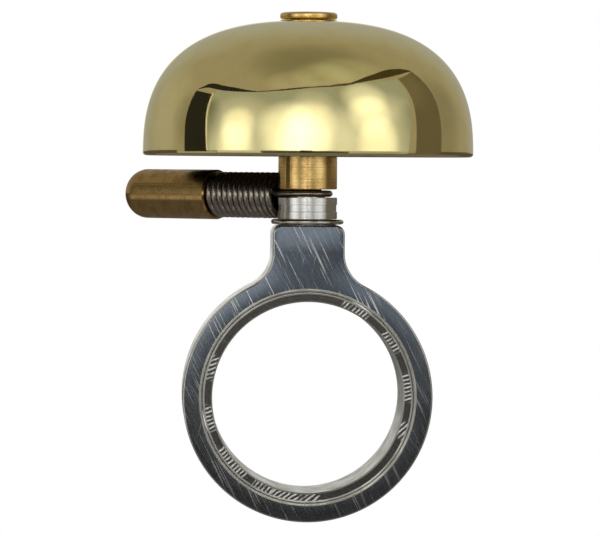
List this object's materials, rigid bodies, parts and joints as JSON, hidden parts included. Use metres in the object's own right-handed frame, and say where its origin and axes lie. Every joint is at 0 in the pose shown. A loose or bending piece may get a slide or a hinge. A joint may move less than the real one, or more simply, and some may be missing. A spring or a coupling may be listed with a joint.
{
  "type": "bicycle bell",
  "caption": "Brass bicycle bell on a flat headset-spacer bracket, with a bullet-shaped striker on a coil spring and a reducer ring in the bore.",
  "frame": {"origin": "centre of the steerer bore, half way through the bracket's thickness", "axes": "+Z along the post, from the bore up to the dome's crown; Y along the steerer bore, with -Y out of the front face; +X to the right seen from the front"},
  "size_m": [0.0473, 0.045, 0.0689],
  "materials": {
    "polished_brass": "mirror polished pale brass",
    "aged_brass": "satin, darkened brass",
    "satin_brass": "turned, satin brass",
    "spring_steel": "dark oiled spring wire",
    "turned_aluminium": "bright turned aluminium",
    "washer_steel": "plain steel, rounded edge",
    "bracket_aluminium": "cut face, long fine scratches",
    "reducer_aluminium": "sawn face with arc marks, bright bore",
    "fastener_steel": "plated steel",
    "nylon": "natural nylon"
  },
  "bodies": {
    "bracket": {"bracket": "bracket_aluminium", "mounting_bolt": "fastener_steel", "bolt_lock_washer": "fastener_steel", "stem_washer": "washer_steel", "collar": "turned_aluminium", "post": "satin_brass", "crown_washer": "nylon", "bell_dome": "polished_brass", "dome_screw": "aged_brass"},
    "striker_arm": {"striker_spring": "spring_steel"},
    "hammer": {"striker_hammer": "aged_brass"},
    "reducer": {"reducer_ring": "reducer_aluminium"}
  },
  "joints": [
    {"name": "striker_swivel", "type": "hinge", "parent": "bracket", "child": "striker_arm", "pos_m": [0, 0, 0.02715], "axis": [0, 0, 1], "continuous": true},
    {"name": "striker_flex", "type": "hinge", "parent": "striker_arm", "child": "hammer", "pos_m": [-0.00597, 0.00596, 0.02715], "axis": [0.6361, 0.7716, 0], "range_deg": [-30, 7], "stiffness_Nm_per_rad": 0.05, "springref_deg": 0.81, "deforming": ["striker_spring"]},
    {"name": "reducer_slide", "type": "slide", "parent": "bracket", "child": "reducer", "axis": [0, -1, 0], "range_m": [0, 0.02]}
  ]
}
